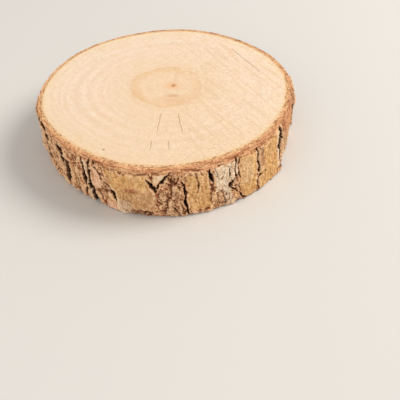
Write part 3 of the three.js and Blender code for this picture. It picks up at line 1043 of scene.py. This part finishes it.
def bark_material(centre):
    n = Nodes("outer_bark", centre)
    scale = n.attribute("scale")
    ridge = n.attribute("ridge")
    fibres = n.noise(n.place((0.7, 0.7, 2.6)), 5, 0.65)
    specks = n.noise(n.place((0.6, 0.6, 0.8)), 3, 0.6)
    mottle = n.noise(n.place((1.6, 1.6, 2.2)), 4, 0.6)
    grain = n.math("ADD", n.times(fibres, 0.65), n.times(specks, 0.35))
    fine = n.levels(grain, 0.41, 0.59)

    colour = n.mix(n.levels(grain, 0.44, 0.56), *BASE_TONE)
    colour = n.mix(n.levels(scale, 0.1, 0.8, 0.0, 0.7), colour, hue(246, 198, 148))
    colour = n.mix(n.levels(scale, -0.1, -0.8, 0.0, 0.75), colour, hue(152, 84, 48))
    colour = n.mix(n.levels(mottle, 0.54, 0.7, 0.0, 0.6), colour, hue(214, 170, 112))
    for tone, pair in TONE_COLOURS.items():
        colour = n.mix(n.attribute(tone), colour, n.mix(fine, *pair))
    greenish = n.times(n.levels(mottle, 0.52, 0.66, 0.0, 0.5), n.attribute("ochre"))
    colour = n.mix(greenish, colour, hue(204, 176, 122))
    level = n.noise(n.place((1.8, 1.8, 0.55)), 4, 0.6)
    brownish = n.times(n.levels(level, 0.5, 0.64, 0.0, 0.5), n.attribute("ochre"))
    colour = n.mix(brownish, colour, hue(180, 128, 84))
    # Fine curled lines: dark on the rough bark, and soft brown wrinkles on the smoother ochre.
    curls = n.math("ABSOLUTE", n.math("SUBTRACT", n.noise(n.place((1.5, 1.5, 1.7)), 3, 0.6), 0.5))
    curls = n.levels(curls, 0.005, 0.04, 1.0, 0.0)
    calm = n.math("ADD", n.math("ADD", n.attribute("ochre"), n.attribute("rim")),
                  n.math("ADD", n.attribute("pale"), n.attribute("pink")))
    colour = n.mix(n.times(curls, n.levels(calm, 0.0, 1.0, 0.75, 0.0)), colour, hue(110, 62, 36))
    colour = n.mix(n.times(curls, n.times(n.attribute("ochre"), 0.45)), colour,
                   hue(154, 102, 56))
    # Light and dark lines beside each other, where the thin layers of the rough bark are torn.
    torn = n.math("SINE", n.times(n.noise(n.place((2.4, 2.4, 2.6)), 2, 0.5), TORN_LINES))
    share = n.levels(calm, 0.0, 1.0, 1.0, 0.12)
    dark = n.times(n.levels(torn, 0.2, 0.9, 0.0, 0.45), share)
    light = n.times(n.levels(torn, -0.2, -0.9, 0.0, 0.65), share)
    colour = n.mix(light, n.mix(dark, colour, hue(138, 78, 50)), hue(255, 208, 162))
    # The thin sheets of the bared inner bark, clearest near the upper edge.
    near_top = n.times(n.attribute("rim"), n.levels(n.attribute("depth"), 1.8, 3.5, 1.0, 0.0))
    sheets = n.noise(n.round_and_out(n.attribute("depth"), *SHEETS[:2]), 3, 0.6)
    dark = n.times(n.levels(sheets, 0.5, 0.62, 0.0, 0.8), near_top)
    light = n.times(n.levels(sheets, 0.48, 0.38, 0.0, 0.6), near_top)
    colour = n.mix(light, n.mix(dark, colour, hue(138, 78, 50)), hue(244, 200, 158))
    # Painted shade in the pits and painted highlight on the ridges, then the insides of the cracks, gaps
    # and creases, darkened towards black partly for their own dark colour and partly as painted shade.
    pit_shade = n.times(n.levels(ridge, -0.1, -0.8, 0.0, 0.85),
                  n.levels(n.attribute("ochre"), 0.0, 1.0, 1.0, 0.4))
    colour = n.mix(pit_shade, colour, hue(104, 60, 34))
    colour = n.mix(n.levels(ridge, 0.2, 0.9, 0.0, 0.55), colour, hue(248, 210, 168))
    colour = n.mix(n.levels(n.attribute("crack_and_shade"), 0.1, 0.5, 0.0, 0.9), colour, hue(100, 56, 30))
    shreds = n.noise(n.place((0.5, 0.5, 3)), 3, 0.6)
    fissure_dark_and_shade = n.mix(n.levels(shreds, 0.52, 0.66, 0.0, 0.7), hue(30, 16, 10), hue(118, 82, 54))
    colour = n.mix(n.levels(n.attribute("crack_and_shade"), 0.45, 0.95, 0.0, 0.97), colour, fissure_dark_and_shade)
    normal = n.bump(fibres, distance=0.35, strength=0.8)
    normal = n.bump(specks, distance=0.2, strength=0.5, normal=normal)
    return n.finish(colour, roughness=0.9, specular=0.12, normal=normal)


# Stage

# A pale floor just under the slice, two lamps and a soft surround, in metres and watts.
FLOOR_HALF = 6.0
FLOOR_DROP = 0.0002
FLOOR_COLOUR = (0.7, 0.685, 0.66, 1.0)
LAMPS = [
    dict(name="key", place=(0.8, 0.16, 0.83), size=0.64, power=9.6, colour=(1.0, 0.96, 0.9)),
    dict(name="fill", place=(-0.4, -0.8, 0.4), size=0.8, power=2.4, colour=(1.0, 0.96, 0.92)),
]
SURROUND_COLOUR = (1.0, 0.97, 0.93, 1.0)
SURROUND_STRENGTH = 0.6


def make_floor():
    corners = [(-1, -1, 0), (1, -1, 0), (1, 1, 0), (-1, 1, 0)]
    points = np.array(corners) * FLOOR_HALF / MM
    material = Nodes("pale_floor").finish(FLOOR_COLOUR, roughness=0.9, specular=0.1)
    floor = mesh_object("floor", points, [(0, 1, 2, 3)], [material], [0], {})
    floor.location.z = -FLOOR_DROP
    return floor


def area_light(name, place, size, power, colour):
    light = bpy.data.lights.new(name, "AREA")
    light.shape = "DISK"
    light.size = size
    light.energy = power
    light.color = colour
    lamp = bpy.data.objects.new(name, light)
    lamp.location = place
    bpy.context.scene.collection.objects.link(lamp)
    toward = -lamp.location.normalized()
    lamp.rotation_mode = "QUATERNION"
    lamp.rotation_quaternion = toward.to_track_quat("-Z", "Y")


def make_light():
    for lamp in LAMPS:
        area_light(**lamp)
    world = bpy.data.worlds.new("studio")
    world.use_nodes = True
    background = world.node_tree.nodes["Background"]
    background.inputs["Color"].default_value = SURROUND_COLOUR
    background.inputs["Strength"].default_value = SURROUND_STRENGTH
    bpy.context.scene.world = world


# The camera looks along +Y and this far down, from a place given from the middle of the wood's outline
# on the upper face, in millimetres.
CAMERA_LENS = 50.0
CAMERA_SENSOR = 36.0
CAMERA_DOWN = 43.5
CAMERA_PLACE = (13.42, -192.09, 120.28)


def make_camera(centre):
    data = bpy.data.cameras.new("photo_view")
    data.lens = CAMERA_LENS
    data.sensor_width = CAMERA_SENSOR
    camera = bpy.data.objects.new("photo_view", data)
    camera.location = [
        MM * (centre[0] + CAMERA_PLACE[0]),
        MM * (centre[1] + CAMERA_PLACE[1]),
        MM * (CAMERA_PLACE[2] + THICKNESS),
    ]
    camera.rotation_euler = (math.radians(90 - CAMERA_DOWN), 0, 0)
    bpy.context.scene.collection.objects.link(camera)
    bpy.context.scene.camera = camera


def main():
    bark_points, bark_faces, bark_kinds, bark_attributes = bark_parts()
    wood_points, wood_faces, wood_kinds, wood_attributes = wood_parts()

    # The outline's middle goes onto the Z axis, as in the construction model.
    low = np.array(cad_low) / MM
    high = np.array(cad_high) / MM
    shift = (low[:2] + high[:2]) / 2 - (bark_points.min(axis=0)[:2] + bark_points.max(axis=0)[:2]) / 2
    for points in (bark_points, wood_points):
        points[:, :2] += shift
        np.clip(points, low, high, out=points)
    centre = (shift[0] - LEAN / 2, shift[1])

    bark = mesh_object("bark", bark_points, bark_faces, [bark_material(centre), sawn_bark_material(centre)],
                       bark_kinds, bark_attributes)
    wood = mesh_object("sawn_wood", wood_points, wood_faces, [wood_material(centre)],
                       wood_kinds, wood_attributes)
    for piece in (bark, wood):
        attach(piece, "root")
        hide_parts("wood_slice")

    make_floor()
    make_light()
    make_camera(centre)
    bpy.context.scene.view_settings.view_transform = "Standard"


main()
